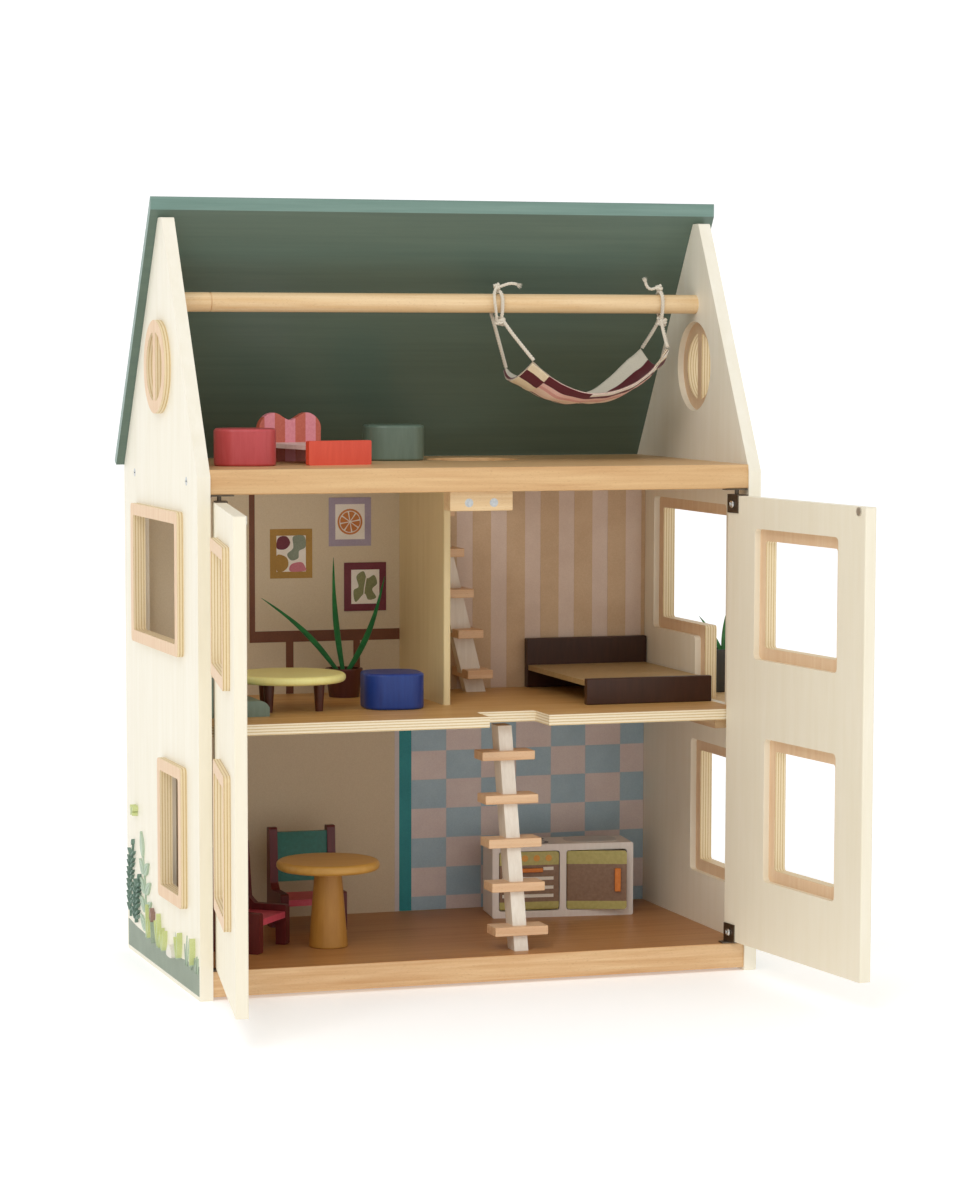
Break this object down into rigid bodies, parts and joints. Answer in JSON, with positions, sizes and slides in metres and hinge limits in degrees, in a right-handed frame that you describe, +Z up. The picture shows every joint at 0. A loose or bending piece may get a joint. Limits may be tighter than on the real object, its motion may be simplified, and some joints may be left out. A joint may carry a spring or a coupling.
{
  "type": "dollhouse",
  "caption": "Open-front wooden dollhouse with an attic under a half roof, swinging window doors, a side balcony, a sling hammock and loose painted furniture",
  "frame": {"origin": "on the supporting surface, at the middle of the footprint of the side panels, in the underside of the runner under the ground floor", "axes": "+X to the balcony side, -Y towards the open front, +Z up"},
  "size_m": [0.6417, 0.5463, 0.7242],
  "materials": {
    "printed_board": "satin printed board",
    "beech_board": "satin",
    "wall_board": "printed board",
    "green_board": "matt paint",
    "frame_ply": "satin",
    "zinc_steel": "zinc plated",
    "bronzed_steel": "browned",
    "striped_cotton": "woven",
    "cotton_rope": "twisted",
    "pink_paint": "satin paint",
    "sage_paint": "satin paint",
    "blue_paint": "satin paint",
    "white_paint": "satin paint",
    "red_paint": "satin paint",
    "olive_paint": "satin paint",
    "dark_brown_paint": "satin paint",
    "pale_green_paint": "satin paint",
    "leaf_felt": "satin paint",
    "planter_paint": "satin paint",
    "dark_red_paint": "satin paint",
    "ochre_paint": "satin paint",
    "taupe_paint": "satin paint"
  },
  "bodies": {
    "house": {"side_panel_left": "printed_board", "side_panel_right": "printed_board", "ground_floor": "beech_board", "attic_floor": "beech_board", "middle_floor": "beech_board", "back_panel": "wall_board", "room_divider": "beech_board", "floor_battens": "beech_board", "roof_panel": "green_board", "hanging_rod": "beech_board", "window_left_upper": "frame_ply", "windows_lower": "frame_ply", "windows_round": "frame_ply", "window_balcony_door": "frame_ply", "balcony_deck": "beech_board", "balcony_railing": "frame_ply", "assembly_screws": "zinc_steel", "magnet_block": "beech_board", "catch_magnets": "zinc_steel", "pivot_plates": "zinc_steel"},
    "left_door": {"door_left": "printed_board", "door_left_window_upper": "frame_ply", "door_left_window_lower": "frame_ply", "door_left_hardware": "bronzed_steel"},
    "right_door": {"door_right": "printed_board", "door_right_window_upper": "frame_ply", "door_right_window_lower": "frame_ply", "door_right_hardware": "bronzed_steel"},
    "hammock": {"hammock_cloth": "striped_cotton", "hammock_rope_left": "cotton_rope", "hammock_rope_right": "cotton_rope"},
    "pink_pouf": {"pouf_pink": "pink_paint"},
    "green_pouf": {"pouf_green": "sage_paint"},
    "blue_pouf": {"pouf_blue": "blue_paint"},
    "child_bed": {"child_bed_headboard": "pink_paint", "child_bed_base": "white_paint", "child_bed_footboard": "red_paint"},
    "coffee_table": {"coffee_table_top": "olive_paint", "coffee_table_legs": "dark_brown_paint"},
    "pot_plant": {"plant_pot": "dark_brown_paint", "plant_leaves": "leaf_felt"},
    "lounge": {"lounge_seat": "sage_paint"},
    "double_bed": {"double_bed_headboard": "dark_brown_paint", "double_bed_footboard": "dark_brown_paint", "double_bed_base": "pale_green_paint"},
    "balcony_plant": {"balcony_planter": "planter_paint", "balcony_planter_leaves": "leaf_felt"},
    "lower_ladder": {"ladder_lower_spine": "white_paint", "ladder_lower_treads": "beech_board"},
    "upper_ladder": {"ladder_upper_spine": "white_paint", "ladder_upper_treads": "beech_board"},
    "rear_chair": {"chair_rear_frame": "dark_red_paint", "chair_rear_seat": "pink_paint"},
    "side_chair": {"chair_side_frame": "dark_red_paint", "chair_side_seat": "pink_paint"},
    "table": {"table_top": "ochre_paint", "table_pedestal": "ochre_paint"},
    "kitchen": {"kitchen_body": "white_paint"},
    "oven_door": {"kitchen_oven_door": "taupe_paint"},
    "cupboard_door": {"kitchen_cupboard_door": "olive_paint"}
  },
  "joints": [
    {"name": "left_door_hinge", "type": "hinge", "parent": "house", "child": "left_door", "pos_m": [-0.2485, -0.1435, 0.2396], "axis": [0, 0, -1], "range_deg": [-100, 14]},
    {"name": "right_door_hinge", "type": "hinge", "parent": "house", "child": "right_door", "pos_m": [0.2485, -0.1435, 0.2396], "axis": [0, 0, 1], "range_deg": [-96, 18]},
    {"name": "hammock_swing", "type": "hinge", "parent": "house", "child": "hammock", "pos_m": [0.147, -0.01, 0.628], "axis": [1, 0, 0], "range_deg": [-30, 30]},
    {"name": "oven_door_hinge", "type": "hinge", "parent": "kitchen", "child": "oven_door", "pos_m": [0.14448, 0.04645, 0.0377], "axis": [0.9925, -0.1219, 0], "range_deg": [0, 90]},
    {"name": "cupboard_door_hinge", "type": "hinge", "parent": "kitchen", "child": "cupboard_door", "pos_m": [0.15167, 0.04557, 0.06325], "axis": [0, 0, -1], "range_deg": [-11, 79]},
    {"name": "pink_pouf_lift", "type": "slide", "parent": "house", "child": "pink_pouf", "axis": [0, 0, 1], "range_m": [0, 0.015]},
    {"name": "green_pouf_lift", "type": "slide", "parent": "house", "child": "green_pouf", "axis": [0, 0, 1], "range_m": [0, 0.015]},
    {"name": "blue_pouf_lift", "type": "slide", "parent": "house", "child": "blue_pouf", "axis": [0, 0, 1], "range_m": [0, 0.015]},
    {"name": "child_bed_lift", "type": "slide", "parent": "house", "child": "child_bed", "axis": [0, 0, 1], "range_m": [0, 0.015]},
    {"name": "coffee_table_lift", "type": "slide", "parent": "house", "child": "coffee_table", "axis": [0, 0, 1], "range_m": [0, 0.015]},
    {"name": "pot_plant_lift", "type": "slide", "parent": "house", "child": "pot_plant", "axis": [0, 0, 1], "range_m": [0, 0.015]},
    {"name": "double_bed_lift", "type": "slide", "parent": "house", "child": "double_bed", "axis": [0, 0, 1], "range_m": [0, 0.015]},
    {"name": "balcony_plant_lift", "type": "slide", "parent": "house", "child": "balcony_plant", "axis": [0, 0, 1], "range_m": [0, 0.015]},
    {"name": "rear_chair_lift", "type": "slide", "parent": "house", "child": "rear_chair", "axis": [0, 0, 1], "range_m": [0, 0.015]},
    {"name": "side_chair_lift", "type": "slide", "parent": "house", "child": "side_chair", "axis": [0, 0, 1], "range_m": [0, 0.015]},
    {"name": "table_lift", "type": "slide", "parent": "house", "child": "table", "axis": [0, 0, 1], "range_m": [0, 0.015]},
    {"name": "kitchen_lift", "type": "slide", "parent": "house", "child": "kitchen", "axis": [0, 0, 1], "range_m": [0, 0.015]},
    {"name": "lounge_pull", "type": "slide", "parent": "house", "child": "lounge", "axis": [0, -1, 0], "range_m": [0, 0.04]},
    {"name": "lower_ladder_pull", "type": "slide", "parent": "house", "child": "lower_ladder", "axis": [0, -1, 0], "range_m": [0, 0.04]},
    {"name": "upper_ladder_pull", "type": "slide", "parent": "house", "child": "upper_ladder", "axis": [0, -1, 0], "range_m": [0, 0.06]}
  ]
}
